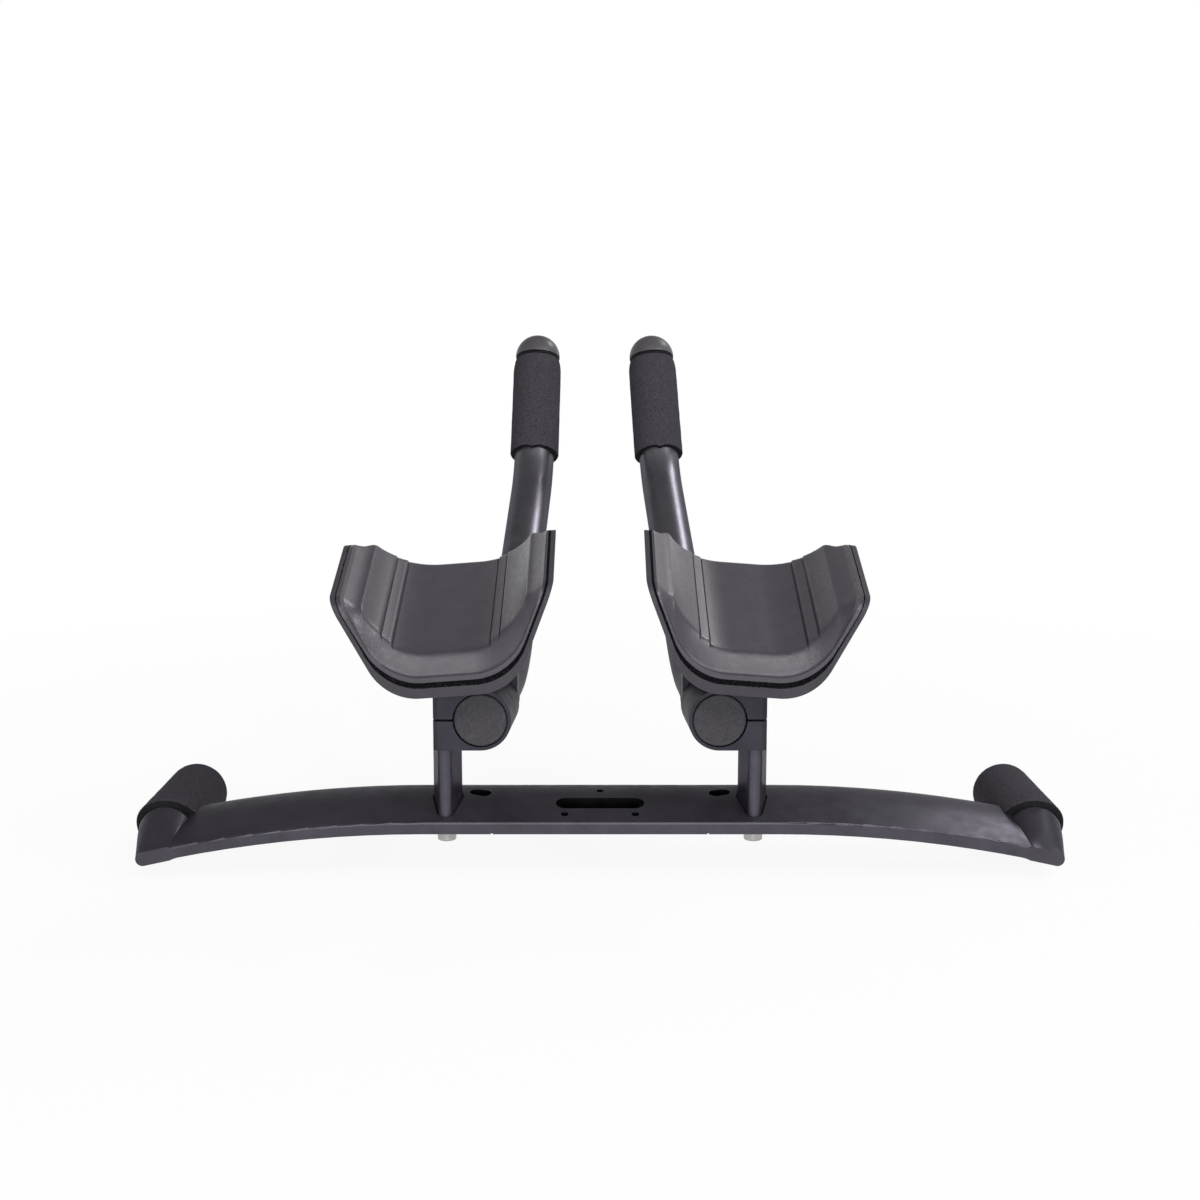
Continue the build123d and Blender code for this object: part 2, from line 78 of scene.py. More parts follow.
# Their meshes
FLOOR_COLUMNS, WALL_COLUMNS, LOOP_COLUMNS = 61, 27, 321
STEP_COLUMNS, STEP_CLEAR = (1.9, 1.5, 1.1, 0.75, 0.4, 0.1, -0.2, -0.6), 2.4  # in steps from a band's line
REAR_REACH, MIDDLE_SHARE, FRONT_SHARES = 10.0, 0.97, [0.98, 0.987, 0.993, 0.997, 1.0]
PAD_ROWS, LOOP_ROWS = (19, 44), (6, 26)  # at the rear edge and over the middle
RIM_LEVELS = (0.33, 0.67)

# Extension and horn sleeves, as in the part
AXIS_X, AXIS_Z, TUBE_REAR, TUBE = 53.2, 51.8, -17.5, 22.2
TOE_IN, ROLL = radians(3.84), {"left": radians(-0.3), "right": radians(2.1)}
# (length of a straight run, 0) or (radius of a bend, degrees), from the rear
TUBE_RUNS = [(76.9, 0.0), (80.0, 30.7), (125.6, 0.0), (60.0, 34.3), (50.0, 0.0)]
SLEEVE_LENGTH, SLEEVE, SLEEVE_TAPER, COLLAR, FIT_GAP = 58.8, 27.0, 7.0, 24.8, 0.1
HORN_X, HORN_Z, GRIP_START, GRIP_LENGTH = 200.0, -6.4, 0.6, 70.0
GRIP_NEAR, GRIP_FAR, GRIP_WALL, GRIP_MITRE = 12.588, 11.227, 3.25, 17.5

# Looks of the sleeves
GRIP_END_ROUND, SLEEVE_END_ROUND = 1.5, 1.1
SLEEVE_SWELL, TAPER_POWER = 0.15, 1.4
NOTCH_REACH, LOBE, LOBE_POWER = 9, 0.5, 0.7
NICK, NICK_HALF_ANGLE, NICK_POWER = 1.6, 0.34, 1.5
FOAM_DENTS = ((0.1, 5.0, 0), (0.07, 1.7, 3))  # (depth, size, seed)
GRIP_SEED, SLEEVE_SEED = 11, 5
AROUND, ROUND_ROWS, SLEEVE_ROWS, BORE_ROWS, RIM_ROWS = 112, 7, 46, 14, 3

# Cable slot of the bar, as in the part, then where the painted shade in it ends and the share of colour
# left there
SLOT_LENGTH, SLOT_WIDTH, SLOT_Y = 40.0, 8.5, -6.0
SLOT_EDGE, SLOT_SHADE = (0.05, 0.15), 0.1
# Painted shade in the holes of the bar: its reach, how open the darkest and the unshaded places are, and
# the share of colour left
RECESS_REACH, RECESS_OPEN, RECESS_SHADE = 12, (0.5, 0.95), 0.06
NOISE_RANGE = (0.3, 0.7)  # where most values of a noise lie

# Stage, light and camera, in metres
FLOOR_HALF, FLOOR_GREY = 6.0, 0.86
FADE_REACH, FADE_SHARES = (0.15, 0.75), (0.92, 1.0)  # distances, and the shares of plain white there
SKY_HEIGHTS, SURROUND, CEILING = (0.2, 0.6), 1.0, 0.25  # heights of a ray's direction, and the light there
WORLD_LEVEL = 0.12
LAMP_AIM = (0, 0.05, 0.07)
LAMPS = {  # place, size and watts
    "key": ((0.15, -1.2, 1.25), (1.6, 0.5), 17),
    "right": ((1.05, -0.45, 1.13), (0.45, 0.2), 6.5),
    "rear_right": ((0.88, 0.93, 1.16), (0.4, 0.28), 6),
    "fill_left": ((-1.6, -1.1, 0.6), (1.0, 1.2), 4),
    "front": ((-0.1, -2.2, 0.4), (1.5, 0.8), 16),
}
LENS_MM, SENSOR_MM = 55.35, 36.0
CAMERA_PLACE, CAMERA_TILT = (0, -0.818, 0.247), radians(80)


# Meshes


def make_piece(name, points, faces, material, slot, *nodes):
    """A mesh piece on the frame body, in place of CAD nodes."""
    mesh = bpy.data.meshes.new(name)
    mesh.from_pydata([tuple(point) for point in np.asarray(points) * MM], [], faces)
    mesh.validate()
    shell = bmesh.new()
    shell.from_mesh(mesh)
    bmesh.ops.recalc_face_normals(shell, faces=shell.faces)
    shell.to_mesh(mesh)
    shell.free()
    mesh.shade_smooth()
    mesh.set_sharp_from_angle(angle=SHARP_ANGLE)
    mesh.materials.append(material)
    piece = bpy.data.objects.new(name, mesh)
    bpy.context.scene.collection.objects.link(piece)
    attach(piece, "frame")
    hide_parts(*nodes)
    return piece


def ring_faces(rings):
    """Quads over a closed stack of closed rings, row by row."""
    faces = []
    for i in range(rings):
        a, b = i * AROUND, (i + 1) % rings * AROUND
        for j in range(AROUND):
            k = (j + 1) % AROUND
            faces.append((a + j, a + k, b + k, b + j))
    return faces


def ripple(point, size, seed):
    """Smooth noise from -1 to 1 with a given size in mm."""
    return noise.noise(Vector(point) / size + Vector((seed, 2.7 * seed, -1.3 * seed)))


def ripples(point, layers, seed):
    """The sum of noises of (depth, size, seed)."""
    return sum(depth * ripple(point, size, seed + own) for depth, size, own in layers)


def smooth(value):
    """An even rise from 0 to 1."""
    value = min(max(value, 0.0), 1.0)
    return value * value * (3 - 2 * value)


# Foam sleeves


def sleeve_profile(length, outer, inner, end_round):
    """A closed profile of (along, radius, skin or not): out over the sleeve and back along its bore."""
    profile = []
    for angle in np.linspace(-90, 0, ROUND_ROWS):
        turn = radians(angle)
        profile.append((end_round * (1 + sin(turn)), outer(0) - end_round * (1 - cos(turn)), True))
    for share in np.linspace(0, 1, SLEEVE_ROWS)[1:-1]:
        along = end_round + share * (length - 2 * end_round)
        profile.append((along, outer(along), True))
    for angle in np.linspace(0, 90, ROUND_ROWS):
        turn = radians(angle)
        along = length - end_round * (1 - sin(turn))
        profile.append((along, outer(length) - end_round * (1 - cos(turn)), True))
    for share in np.linspace(1, 0, BORE_ROWS):
        profile.append((share * length, inner(share * length), False))
    return profile


def make_sleeve(name, profile, place, seed, shift, materials, node):
    """A foam sleeve on a path.

    place(along) gives centre, sideways and up, and shift(along, angle) moves a point along.
    The rear end has the second material.
    """
    points = []
    for along, radius, skin in profile:
        for step in range(AROUND):
            angle = 2 * pi * step / AROUND
            centre, side, up = place(along + shift(along, angle))
            direction = side * cos(angle) + up * sin(angle)
            point = centre + direction * radius
            if skin:
                point = centre + direction * (radius + ripples(point, FOAM_DENTS, seed))
            points.append(point)
    piece = make_piece(name, points, ring_faces(len(profile)), materials[0], "grip_foam", node)
    piece.data.materials.append(materials[1])
    for face in piece.data.polygons:
        row = face.index // AROUND
        face.material_index = int(row < RIM_ROWS or row == len(profile) - 1)


def make_horn_grip(side, sign, *materials):
    """The sleeve on a horn of the bar, with a slanted rear rim."""

    def place(along):
        centre = Vector((-sign * HORN_X, GRIP_START + along, HORN_Z))
        return centre, Vector((0, 0, 1)), Vector((1, 0, 0))

    def inner(along):
        return GRIP_NEAR + (GRIP_FAR - GRIP_NEAR) * along / GRIP_LENGTH

    def outer(along):
        return inner(along) + GRIP_WALL

    def slant(along, angle):
        """The rear rim leans, its foot further forward."""
        return FIT_GAP + (GRIP_MITRE * (1 - cos(angle)) / 2 - FIT_GAP) * (1 - along / GRIP_LENGTH)

    profile = sleeve_profile(GRIP_LENGTH - FIT_GAP, outer, inner, GRIP_END_ROUND)
    node = f"{side}_base_grip"
    make_sleeve(f"{side}_horn_foam", profile, place, GRIP_SEED * sign, slant, materials, node)


def run_length(size, turn):
    """Length of a straight run, or of a bend of a radius."""
    return size * radians(turn) if turn else size


def tube_place(distance):
    """Centre and heading of the extension in its bend plane, at a distance from its rear end."""
    along = rise = heading = 0.0
    left = distance
    for size, turn in TUBE_RUNS:
        part = min(left, run_length(size, turn))
        if turn:
            after = heading + part / size
            along += size * (sin(after) - sin(heading))
            rise += size * (cos(heading) - cos(after))
            heading = after
        else:
            along += part * cos(heading)
            rise += part * sin(heading)
        left -= part
    return along, rise, heading


def make_extension_grip(side, sign, *materials):
    """The sleeve at the upper end of an extension."""
    forward = Vector((sin(TOE_IN), cos(TOE_IN), 0))
    inward = Vector((cos(TOE_IN), -sin(TOE_IN), 0))
    up = Vector((0, 0, cos(ROLL[side]))) + inward * sin(ROLL[side])
    across = forward.cross(up).normalized()
    origin = Vector((-AXIS_X, TUBE_REAR, AXIS_Z))
    start = sum(run_length(*run) for run in TUBE_RUNS) - SLEEVE_LENGTH

    def flip(vector):
        return Vector((sign * vector.x, vector.y, vector.z))

    def place(along):
        run, rise, heading = tube_place(start + along)
        centre = origin + forward * run + up * rise
        over = up * cos(heading) - forward * sin(heading)
        return flip(centre), flip(across), flip(over)

    def outer(along):
        full = SLEEVE / 2 + SLEEVE_SWELL * (1 - along / SLEEVE_LENGTH)
        near_end = max(0.0, (along - (SLEEVE_LENGTH - SLEEVE_TAPER)) / SLEEVE_TAPER)
        return full - (SLEEVE - COLLAR) / 2 * near_end ** TAPER_POWER

    def inner(along):
        return TUBE / 2 + FIT_GAP

    def notch(along, angle):
        """The lower rim is drawn up a little where it faces the rider, with a small nick in the middle."""
        fade = max(0.0, 1 - along / NOTCH_REACH) ** 2
        from_top = (angle - pi / 2 + pi) % (2 * pi) - pi
        lobe = LOBE * max(0.0, cos(from_top)) ** LOBE_POWER
        nick = NICK * max(0.0, 1 - abs(from_top) / NICK_HALF_ANGLE) ** NICK_POWER
        return fade * (lobe - nick)

    profile = sleeve_profile(SLEEVE_LENGTH - FIT_GAP, outer, inner, SLEEVE_END_ROUND)
    node = f"{side}_extension_grip"
    make_sleeve(f"{side}_extension_foam", profile, place, SLEEVE_SEED * sign, notch, materials, node)


# Arm rest pad and hook-and-loop layer


def corner_radius(depth):
    return REST_CORNER + CORNER_GROWTH * depth


def wall_length(depth):
    """Length of the straight wall above the round corner."""
    rise = corner_radius(depth) * (1 - cos(REST_FLARE))
    return (REST_HEIGHT - depth - rise) / sin(REST_FLARE)


def trough_point(depth, share):
    """(across, up) on the trough's outline at a depth, from -1 at the outer rim to 1 at the inner one."""
    foot = REST_FLOOR / 2 - WALL_SHARE * depth / sin(REST_FLARE)
    corner = foot + depth / tan(REST_FLARE)
    radius = corner_radius(depth)
    flat = corner - radius * tan(REST_FLARE / 2)
    reach = abs(share)
    turn = REST_FLARE * min(max((reach - FLAT_SHARE) / (ARC_SHARE - FLAT_SHARE), 0), 1)
    wall = wall_length(depth) * max(reach - ARC_SHARE, 0) / (1 - ARC_SHARE)
    x = flat * min(reach / FLAT_SHARE, 1) + radius * sin(turn) + wall * cos(REST_FLARE)
    z = depth + radius * (1 - cos(turn)) + wall * sin(REST_FLARE)
    return (x if share > 0 else -x), z


def lean(z, angle):
    """How far a slanted end of the rest has come in at a height, with the round at its top."""
    z = min(z, REST_HEIGHT)
    centre = REST_HEIGHT - REST_EDGE_ROUND
    if z < centre + REST_EDGE_ROUND * sin(angle):
        return z * tan(angle)
    middle = centre * tan(angle) + REST_EDGE_ROUND / cos(angle)
    return middle - sqrt(max(REST_EDGE_ROUND ** 2 - (z - centre) ** 2, 0))


def rest_point(sign, x, y, z):
    """A point of the left rest's own axes in the CAD frame, mirrored for the right."""
    along = Vector((0, cos(REST_TILT), sin(REST_TILT)))
    normal = Vector((0, -sin(REST_TILT), cos(REST_TILT)))
    inward = Vector((1, 0, 0)) * cos(REST_ROLL) + normal * sin(REST_ROLL)
    up = inward.cross(along)
    point = Vector((-REST_X, REST_Y, REST_Z)) + inward * x + along * y + up * z
    return Vector((sign * point.x, point.y, point.z))


def edge_distance(y, z, share, depth):
    """How far a point is from the rear and rim edges, rounded at their corner."""
    rear = (y - z * tan(REST_TILT)) * cos(REST_TILT)
    rim = wall_length(depth) * (1 - abs(share)) / (1 - ARC_SHARE)
    if rear >= BEVEL_ROUND or rim >= BEVEL_ROUND:
        return min(rear, rim)
    return BEVEL_ROUND - hypot(BEVEL_ROUND - rear, BEVEL_ROUND - rim)


def pad_nose(share, part):
    """How far the pad's front edge stands out over the cup's, fading to the rims and the underside."""
    fade = smooth((abs(share) - NOSE_START) / (NOSE_END - NOSE_START))
    return NOSE * smooth(NOSE_STEEPNESS * part) * (1 - fade)


def pad_height(edge, front, share):
    """Share of the pad's thickness at distances from its edges: a lip, a round bevel and stepped bands."""
    slope = max((edge - LEDGE) / (BEVEL - LEDGE), 0.0)
    rise = slope * (1 + BEVEL_BULGE - BEVEL_BULGE * min(slope, BEVEL_CREST))
    bevel = LIP_SHARE + (1 - LIP_SHARE) * rise
    level = 1.0
    for line in BANDS[-1 if share < 0 else 1]:
        inside = (line - abs(share)) / STEP_SHARE
        groove = max(0.0, 1 - abs(inside - GROOVE_PLACE) / GROOVE_HALF)
        level -= STEP / PAD * smooth(inside + 0.5) + GROOVE / PAD * groove
    height = min(bevel, level) - RIDGE_ROUND * log(1 + exp(-abs(bevel - level) / RIDGE_ROUND))
    outside = 1 - min(max(front, 0) / FRONT_ROUND, 1)
    return height - FRONT_DROP * (1 - sqrt(1 - outside ** 2))


def pinch(share):
    """How far the outer wall presses the layers together, from 0 at the floor to 1 at the rim."""
    return smooth((-share - PINCH_START) / PINCH_REACH)


def across_shares():
    """Places across the pad: close together at its rims and at the bands' steps."""
    shares = set(np.linspace(0, 1, FLOOR_COLUMNS).round(5))
    shares |= set((1 - (1 - ARC_SHARE) * np.linspace(0, 1, WALL_COLUMNS)).round(5))
    both = set()
    for sign, lines in BANDS.items():
        here = shares
        for line in lines:
            here = {share for share in here if abs(share - line + STEP_SHARE) > STEP_CLEAR * STEP_SHARE}
            here |= {round(line - STEP_SHARE * inside, 5) for inside in STEP_COLUMNS}
        both |= {sign * share for share in here}
    return sorted(both)


def along_places(rear_rows, middle_rows):
    """Rows along the rest as (distance from the rear edge, share of what is left), close at both ends."""
    near = [(distance, 0.0) for distance in np.linspace(0, REAR_REACH, rear_rows)]
    middle = list(np.linspace(0, MIDDLE_SHARE, middle_rows)[1:]) + FRONT_SHARES
    return near + [(REAR_REACH, share) for share in middle]


def grid_border(columns, count):
    """Places of a grid's outer points, once round."""
    border = list(range(columns)) + [i * columns + columns - 1 for i in range(1, count)]
    border += [(count - 1) * columns + j for j in range(columns - 2, -1, -1)]
    return border + [i * columns for i in range(count - 2, 0, -1)]


def layer_mesh(shares, rows, low, high, height, base, nose, rim_shift=None):
    """A closed layer of the rest between two depths: top, underside and the rim between them.

    height and base place the top and the underside, as shares of the way from low to high. nose is how far
    the front edge stands out, and rim_shift moves the rim's points.
    """
    columns, count = len(shares), len(rows)

    def at(share, row, part):
        low_x, low_z = trough_point(low, share)
        high_x, high_z = trough_point(high, share)
        x, z = low_x + part * (high_x - low_x), low_z + part * (high_z - low_z)
        rear = lean(z, REST_TILT)
        front = REST_LENGTH - lean(z, REST_RAKE) + nose(share, part)
        return x, rear + row[0] + (front - rear - row[0]) * row[1], z

    points = []
    for row in rows:
        for share in shares:
            _, y, z = at(share, row, 1.0)
            front = (at(share, rows[-1], 1.0)[1] - y) * cos(REST_RAKE)
            points.append(at(share, row, height(edge_distance(y, z, share, high), front, share)))
    points += [at(share, row, base(share)) for row in rows for share in shares]
    faces = []
    under = columns * count
    for i in range(count - 1):
        for j in range(columns - 1):
            a = i * columns + j
            faces.append((a, a + 1, a + columns + 1, a + columns))
            faces.append((under + a, under + a + columns, under + a + columns + 1, under + a + 1))
    border = grid_border(columns, count)
    stack = [[under + place for place in border]]
    for level in RIM_LEVELS:
        stack.append(list(range(len(points), len(points) + len(border))))
        for place in border:
            top, bottom = Vector(points[place]), Vector(points[under + place])
            points.append(tuple(bottom + (top - bottom) * level))
    stack.append(border)
    for lower, upper in zip(stack, stack[1:]):
        for k in range(len(border)):
            n = (k + 1) % len(border)
            faces.append((lower[k], lower[n], upper[n], upper[k]))
    if rim_shift:
        middle = Vector((0, REST_LENGTH / 2, REST_HEIGHT / 2))
        for chain in stack:
            for place in chain:
                point = Vector(points[place])
                points[place] = tuple(point + rim_shift(point, (point - middle).normalized()))
    return points, faces


def make_pad(side, sign, material):
    """The pad, which sinks into the hook-and-loop layer at the outer rim."""
    low = CUP + LOOP + 2 * LAYER_GAP
    sink = (LOOP + LAYER_GAP) * (1 - PINCH) / PAD

    def base(share):
        return -sink * pinch(share)

    rows = along_places(*PAD_ROWS)
    points, faces = layer_mesh(across_shares(), rows, low, low + PAD, pad_height, base, pad_nose)
    placed = [rest_point(sign, *point) for point in points]
    piece = make_piece(f"{side}_rest_pad", placed, faces, material, "pad_foam", f"{side}_pad")


def make_loop(side, sign, material):
    """The hook-and-loop layer, with a rough fuzzy rim."""
    low = CUP + LAYER_GAP
    shares = sorted(np.linspace(-1, 1, LOOP_COLUMNS).round(5))

    def fuzz(point, outward):
        return outward * (ripples(point, FUZZ, sign) - FUZZ_INSET)

    def height(edge, front, share):
        return 1 - (1 - PINCH) * pinch(share)

    def none(*place):
        return 0.0

    rows = along_places(*LOOP_ROWS)
    points, faces = layer_mesh(shares, rows, low, low + LOOP, height, none, none, fuzz)
    placed = [rest_point(sign, *point) for point in points]
    make_piece(f"{side}_hook_loop", placed, faces, material, "loop_fabric", f"{side}_hook_and_loop")


# Shader nodes


def feed(tree, socket, value):
    """Links a socket to another one, or sets it to a number."""
    if isinstance(value, bpy.types.NodeSocket):
        tree.links.new(value, socket)
    else:
        socket.default_value = value


def maths(tree, operation, *values):
    """A maths node on sockets and numbers."""
    node = tree.nodes.new("ShaderNodeMath")
    node.operation = operation
    for socket, value in zip(node.inputs, values):
        feed(tree, socket, value)
    return node.outputs["Value"]


def map_range(tree, value, start, end):
    """Maps a value from one (low, high) to another."""
    node = tree.nodes.new("ShaderNodeMapRange")
    feed(tree, node.inputs["Value"], value)
    for name, limit in zip(("From Min", "From Max", "To Min", "To Max"), (*start, *end)):
        feed(tree, node.inputs[name], limit)
    return node.outputs["Result"]


def coordinates(tree, kind):
    return tree.nodes.new("ShaderNodeTexCoord").outputs[kind]


def split(tree, vector):
    """X, Y and Z of a vector."""
    node = tree.nodes.new("ShaderNodeSeparateXYZ")
    tree.links.new(vector, node.inputs["Vector"])
    return node.outputs


def vector_length(tree, vector):
    node = tree.nodes.new("ShaderNodeVectorMath")
    node.operation = "LENGTH"
    tree.links.new(vector, node.inputs[0])
    return node.outputs["Value"]


def seen_rays(tree):
    """1 for rays from the camera, or mirrored or passed on by a surface."""
    path = tree.nodes.new("ShaderNodeLightPath").outputs
    mirrored = maths(tree, "MAXIMUM", path["Is Camera Ray"], path["Is Glossy Ray"])
    return maths(tree, "MAXIMUM", mirrored, path["Is Transmission Ray"])


# Materials


def new_material(name, colour, roughness, metallic=0.0, specular=0.5, edge=1.0):
    """A plain material. edge darkens the sheen at grazing angles."""
    material = bpy.data.materials.new(name)
    material.use_nodes = True
    shader = material.node_tree.nodes["Principled BSDF"]
    shader.inputs["Base Color"].default_value = (*colour, 1)
    shader.inputs["Roughness"].default_value = roughness
    shader.inputs["Metallic"].default_value = metallic
    shader.inputs["Specular IOR Level"].default_value = specular
    shader.inputs["Specular Tint"].default_value = (edge, edge, edge, 1)
    return material, material.node_tree, shader


def texture(tree, kind, size_mm, stretch=(1, 1, 1)):
    """A texture in the CAD frame, with features of about a size in mm."""
    mapping = tree.nodes.new("ShaderNodeMapping")
    mapping.inputs["Scale"].default_value = stretch
    tree.links.new(coordinates(tree, "Object"), mapping.inputs["Vector"])
    pattern = tree.nodes.new(kind)
    pattern.inputs["Scale"].default_value = 1 / (size_mm * MM)
    tree.links.new(mapping.outputs["Vector"], pattern.inputs["Vector"])
    return pattern


def grain(tree, size_mm, detail, stretch=(1, 1, 1)):
    """Noise with finer noise on it."""
    pattern = texture(tree, "ShaderNodeTexNoise", size_mm, stretch)
    pattern.inputs["Detail"].default_value = detail
    return pattern.outputs["Fac"]


def cells(tree, size_mm):
    """Distance from the middles of uneven cells."""
    return texture(tree, "ShaderNodeTexVoronoi", size_mm).outputs["Distance"]


def shades(colour, spread):
    """A darker and a lighter shade."""
    return [tuple(c * (1 - spread) for c in colour), tuple(c * (1 + spread) for c in colour)]


def vary_colour(tree, shader, value, colours, places=NOISE_RANGE):
    """Runs from one colour to another where a value goes from one place to another."""
    ramp = tree.nodes.new("ShaderNodeValToRGB")
    for element, place, colour in zip(ramp.color_ramp.elements, places, colours):
        element.position = place
        element.color = (*colour, 1)
    tree.links.new(value, ramp.inputs["Fac"])
    tree.links.new(ramp.outputs["Color"], shader.inputs["Base Color"])


def vary_roughness(tree, shader, value, low, high):
    tree.links.new(map_range(tree, value, NOISE_RANGE, (low, high)), shader.inputs["Roughness"])


def bump(tree, shader, *layers):
    """Stacked bumps of (height texture, depth in mm)."""
    last = None
    for value, depth in layers:
        node = tree.nodes.new("ShaderNodeBump")
        node.inputs["Strength"].default_value = 1.0
        node.inputs["Distance"].default_value = depth * MM
        tree.links.new(value, node.inputs["Height"])
        if last:
            tree.links.new(last, node.inputs["Normal"])
        last = node.outputs["Normal"]
    tree.links.new(last, shader.inputs["Normal"])


def scale_colour(tree, shader, factor):
    """Multiplies a material's colour by a value."""
    mix = tree.nodes.new("ShaderNodeMix")
    mix.data_type, mix.blend_type = "RGBA", "MULTIPLY"
    mix.inputs["Factor"].default_value = 1.0
    tree.links.new(shader.inputs["Base Color"].links[0].from_socket, mix.inputs["A"])
    tree.links.new(factor, mix.inputs["B"])
    tree.links.new(mix.outputs["Result"], shader.inputs["Base Color"])


def paint_recess_shade(tree, shader):
    """Painted shade: the colour is deeper where the piece's own shape occludes it, in its holes and
    hollows.
    """
    shade_occlusion = tree.nodes.new("ShaderNodeAmbientOcclusion")
    shade_occlusion.only_local = True
    shade_occlusion.samples = 8
    shade_occlusion.inputs["Distance"].default_value = RECESS_REACH * MM
    scale_colour(tree, shader, map_range(tree, shade_occlusion.outputs["AO"], RECESS_OPEN, (RECESS_SHADE, 1.0)))


def paint_slot_shade(tree, shader):
    """Painted shade inside the bar's cable slot: the colour is deeper within the slot's outline."""
    place = split(tree, coordinates(tree, "Object"))
    straight = (SLOT_LENGTH - SLOT_WIDTH) / 2 * MM
    beyond = maths(tree, "SUBTRACT", maths(tree, "ABSOLUTE", place["X"]), straight)
    offset = tree.nodes.new("ShaderNodeCombineXYZ")
    feed(tree, offset.inputs["X"], maths(tree, "MAXIMUM", beyond, 0.0))
    feed(tree, offset.inputs["Y"], maths(tree, "SUBTRACT", place["Y"], SLOT_Y * MM))
    edge = [(SLOT_WIDTH / 2 + gap) * MM for gap in SLOT_EDGE]
    distance = vector_length(tree, offset.outputs["Vector"])
    scale_colour(tree, shader, map_range(tree, distance, edge, (SLOT_SHADE, 1.0)))


def satin(name, colour, roughness, grain_mm, depth, spread=0.12, cloud_mm=14, uneven=0.06, **finish):
    """Anodised or painted metal and moulded plastic: fine grain, faint clouding."""
    material, tree, shader = new_material(name, colour, roughness, **finish)
    vary_colour(tree, shader, grain(tree, cloud_mm, detail=4), shades(colour, spread))
    patches = grain(tree, size_mm=6, detail=5)
    vary_roughness(tree, shader, patches, roughness - uneven, roughness + uneven)
    bump(tree, shader, (grain(tree, grain_mm, detail=2), depth))
    return material


def bar_satin_with_painted_shade(*looks, **finish):
    """The bar's satin, with painted shade in its holes and its cable slot."""
    material = satin(*looks, **finish)
    shader = material.node_tree.nodes["Principled BSDF"]
    paint_recess_shade(material.node_tree, shader)
    paint_slot_shade(material.node_tree, shader)
    return material


def foam(name, colour, cell_mm, depth):
    """Closed-cell foam: matt, mottled, with small open cells."""
    material, tree, shader = new_material(name, colour, roughness=0.9, specular=0.08)
    vary_colour(tree, shader, grain(tree, size_mm=0.9, detail=6), shades(colour, spread=0.35))
    lumps = grain(tree, size_mm=3.2, detail=4)
    bump(tree, shader, (lumps, depth * 1.5), (cells(tree, cell_mm), depth))
    return material


def moulded_foam(name, colour):
    """Moulded pad foam: fine leather-like skin with a dull sheen."""
    material, tree, shader = new_material(name, colour, roughness=0.4)
    vary_colour(tree, shader, grain(tree, size_mm=9, detail=5), shades(colour, spread=0.1))
    vary_roughness(tree, shader, grain(tree, size_mm=2.5, detail=4), low=0.3, high=0.42)
    pores = cells(tree, size_mm=0.55)
    creases = grain(tree, size_mm=0.9, detail=3)
    bump(tree, shader, (pores, 0.035), (creases, 0.04))
    return material


def fuzzy(name, colour, fibre_light=8):
    """Hook-and-loop fabric: near black, with a few lighter fibres."""
    material, tree, shader = new_material(name, colour, roughness=0.95, specular=0.05)
    fibre = tuple(fibre_light * c for c in colour)
    vary_colour(tree, shader, grain(tree, size_mm=0.6, detail=4), (colour, fibre), places=(0.56, 0.72))
    bump(tree, shader, (grain(tree, size_mm=0.5, detail=4), 0.3))
    return material


def steel(name, colour):
    """Bright plated steel with fine turning marks."""
    material, tree, shader = new_material(name, colour, roughness=0.3, metallic=1.0)
    vary_colour(tree, shader, grain(tree, size_mm=2.2, detail=4), shades(colour, spread=0.08))
    vary_roughness(tree, shader, grain(tree, size_mm=1.2, detail=4), low=0.22, high=0.4)
    bump(tree, shader, (grain(tree, size_mm=0.4, detail=2, stretch=(1, 1, 6)), 0.012))
    return material


def dress(material, *endings):
    """Gives a finish to every CAD node whose name has one of the endings."""
    for name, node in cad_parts.items():
        if name.endswith(endings):
            node.data.materials.clear()
            node.data.materials.append(material)


# Stage, light and camera


def make_stage(floor_z):
    """A pale floor that takes the object's shadow and fades to plain white for the rays that see it."""
    mesh = bpy.data.meshes.new("floor")
    corners = [(-1, -1), (1, -1), (1, 1), (-1, 1)]
    mesh.from_pydata([(FLOOR_HALF * x, FLOOR_HALF * y, floor_z) for x, y in corners], [], [(0, 1, 2, 3)])
    floor = bpy.data.objects.new("floor", mesh)
    bpy.context.scene.collection.objects.link(floor)
    material = bpy.data.materials.new("floor_white")
    material.use_nodes = True
    tree = material.node_tree
    tree.nodes.clear()
    diffuse = tree.nodes.new("ShaderNodeBsdfDiffuse")
    diffuse.inputs["Color"].default_value = (FLOOR_GREY, FLOOR_GREY, FLOOR_GREY, 1)
    glow = tree.nodes.new("ShaderNodeEmission")
    glow.inputs["Color"].default_value = (1, 1, 1, 1)
    glow.inputs["Strength"].default_value = 1.0
    distance = vector_length(tree, coordinates(tree, "Object"))
    fade = map_range(tree, distance, FADE_REACH, FADE_SHARES)
    mix = tree.nodes.new("ShaderNodeMixShader")
    tree.links.new(maths(tree, "MULTIPLY", fade, seen_rays(tree)), mix.inputs["Fac"])
    tree.links.new(diffuse.outputs["BSDF"], mix.inputs[1])
    tree.links.new(glow.outputs["Emission"], mix.inputs[2])
    output = tree.nodes.new("ShaderNodeOutputMaterial")
    tree.links.new(mix.outputs["Shader"], output.inputs["Surface"])
    mesh.materials.append(material)


def make_world():
    """A white surround that darkens to the ceiling, and a plain level of light on the object."""
    world = bpy.data.worlds.new("studio")
    bpy.context.scene.world = world
    world.use_nodes = True
    tree = world.node_tree
    background = tree.nodes["Background"]
    background.inputs["Color"].default_value = (1, 1, 1, 1)
    height = split(tree, coordinates(tree, "Generated"))["Z"]
    surround = map_range(tree, height, SKY_HEIGHTS, (SURROUND, CEILING))
    strength = map_range(tree, seen_rays(tree), (0.0, 1.0), (WORLD_LEVEL, surround))
    tree.links.new(strength, background.inputs["Strength"])


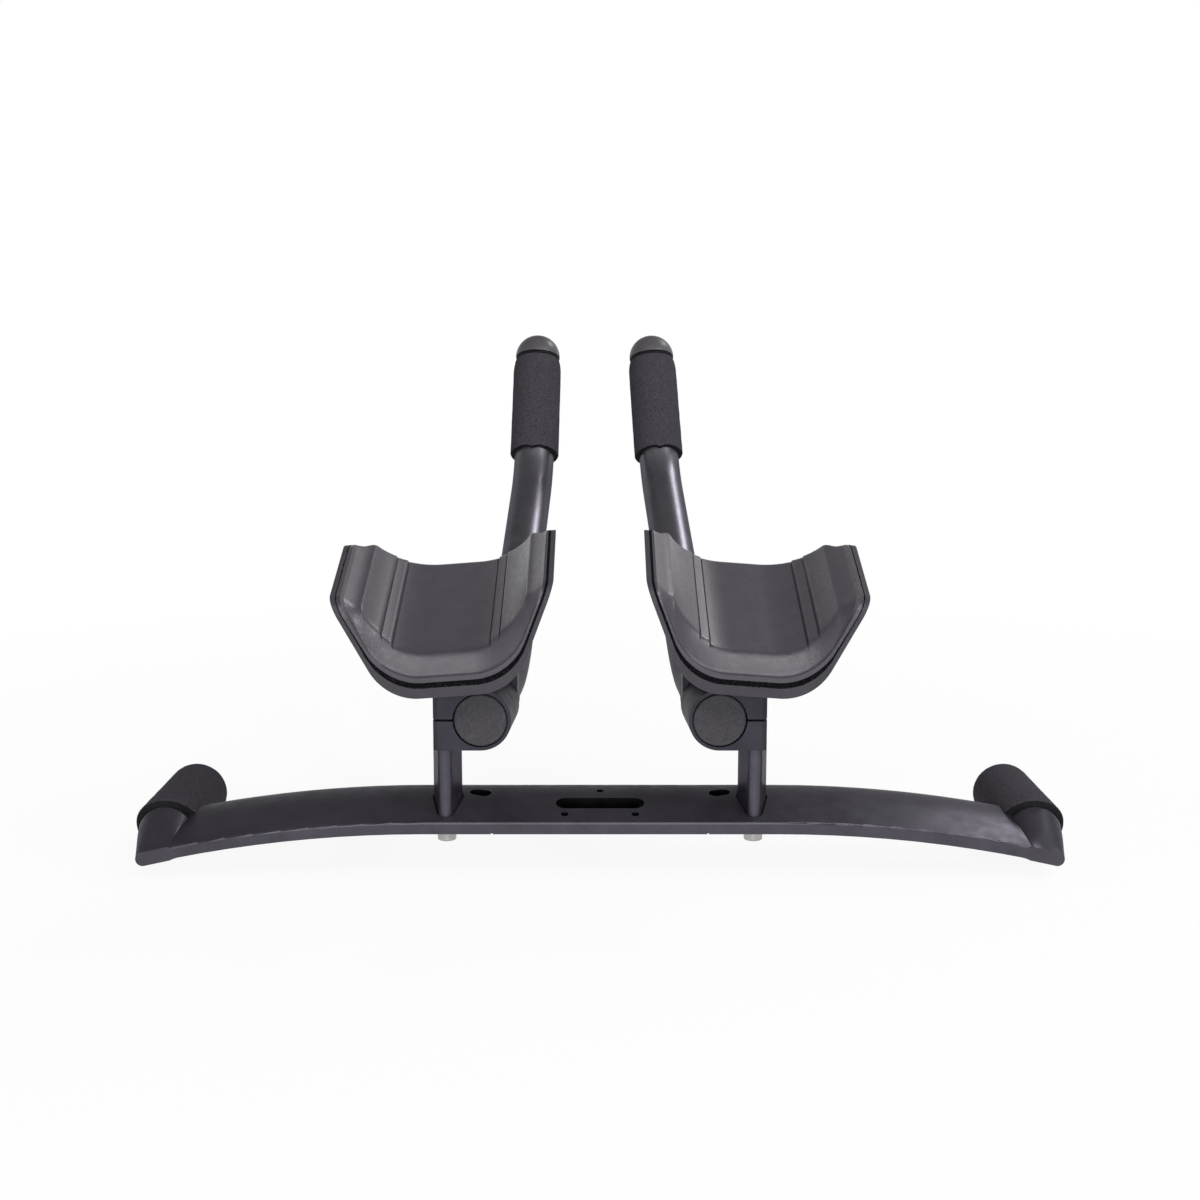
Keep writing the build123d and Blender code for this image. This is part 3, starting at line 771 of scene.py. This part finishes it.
def make_light(name, place, size, power):
    """A rectangular lamp that points at the object."""
    lamp = bpy.data.lights.new(name, "AREA")
    lamp.shape = "RECTANGLE"
    lamp.size, lamp.size_y = size
    lamp.energy = power
    light = bpy.data.objects.new(name, lamp)
    light.location = place
    light.rotation_euler = (Vector(LAMP_AIM) - Vector(place)).to_track_quat("-Z", "Y").to_euler()
    bpy.context.scene.collection.objects.link(light)


def make_camera():
    """The camera that was solved from the photo."""
    data = bpy.data.cameras.new("camera")
    data.lens, data.sensor_width = LENS_MM, SENSOR_MM
    camera = bpy.data.objects.new("camera", data)
    camera.location = CAMERA_PLACE
    camera.rotation_euler = (CAMERA_TILT, 0, 0)
    bpy.context.scene.collection.objects.link(camera)
    bpy.context.scene.camera = camera


# Finishes

# The bar's satin, with painted shade in its holes and cable slot
bar_black = bar_satin_with_painted_shade("bar_black", (0.068, 0.063, 0.078), roughness=0.38, grain_mm=0.35, depth=0.006,
                       metallic=0.7, specular=0.2, edge=0.5)
post_black = satin("post_black", (0.085, 0.078, 0.099), roughness=0.34, grain_mm=0.35, depth=0.006,
                   metallic=0.8, specular=0.2, edge=0.35)
anodised = satin("anodised_black", (0.042, 0.039, 0.05), roughness=0.42, grain_mm=0.45, depth=0.012,
                 metallic=0.5, specular=0.1, edge=0.4)
tube_black = satin("tube_black", (0.188, 0.18, 0.206), roughness=0.37, grain_mm=0.6, depth=0.002,
                   uneven=0.02, metallic=1.0, edge=0.3)
plug_plastic = satin("plug_plastic", (0.042, 0.039, 0.047), roughness=0.55, grain_mm=0.7, depth=0.1,
                     spread=0.35, cloud_mm=0.9, specular=0.3)
switch_plastic = satin("switch_plastic", (0.012, 0.012, 0.013), roughness=0.55, grain_mm=0.5, depth=0.02,
                       specular=0.15)
button_rubber = satin("button_rubber", (0.072, 0.067, 0.076), roughness=0.42, grain_mm=0.6, depth=0.01,
                      specular=0.35)
cup_plastic = satin("cup_plastic", (0.046, 0.041, 0.051), roughness=0.45, grain_mm=0.7, depth=0.02,
                    specular=0.22)
bolt_steel = steel("bolt_steel", (0.4, 0.39, 0.385))
grip_foam = foam("grip_foam", (0.051, 0.046, 0.057), cell_mm=0.8, depth=0.09)
foam_rim = foam("foam_rim", (0.014, 0.013, 0.015), cell_mm=0.6, depth=0.06)
pad_foam = moulded_foam("pad_foam", (0.049, 0.041, 0.055))
loop_fabric = fuzzy("loop_fabric", (0.004, 0.004, 0.005))

dress(bar_black, "base_bar")
dress(post_black, "_post")
dress(anodised, "_clamp", "_rest_bracket")
dress(tube_black, "_extension")
dress(plug_plastic, "_rear_plug")
dress(switch_plastic, "_switch_body", "_tact_switch")
dress(button_rubber, "_switch_button")
dress(cup_plastic, "_cup")
dress(bolt_steel, "_bolts", "_washers")

for side, sign in SIDES.items():
    make_horn_grip(side, sign, grip_foam, foam_rim)
    make_extension_grip(side, sign, grip_foam, foam_rim)
    make_pad(side, sign, pad_foam)
    make_loop(side, sign, loop_fabric)

make_stage(cad_box[0].z)
make_world()
for name, lamp in LAMPS.items():
    make_light(name, *lamp)
make_camera()
bpy.context.scene.view_settings.view_transform = "Standard"
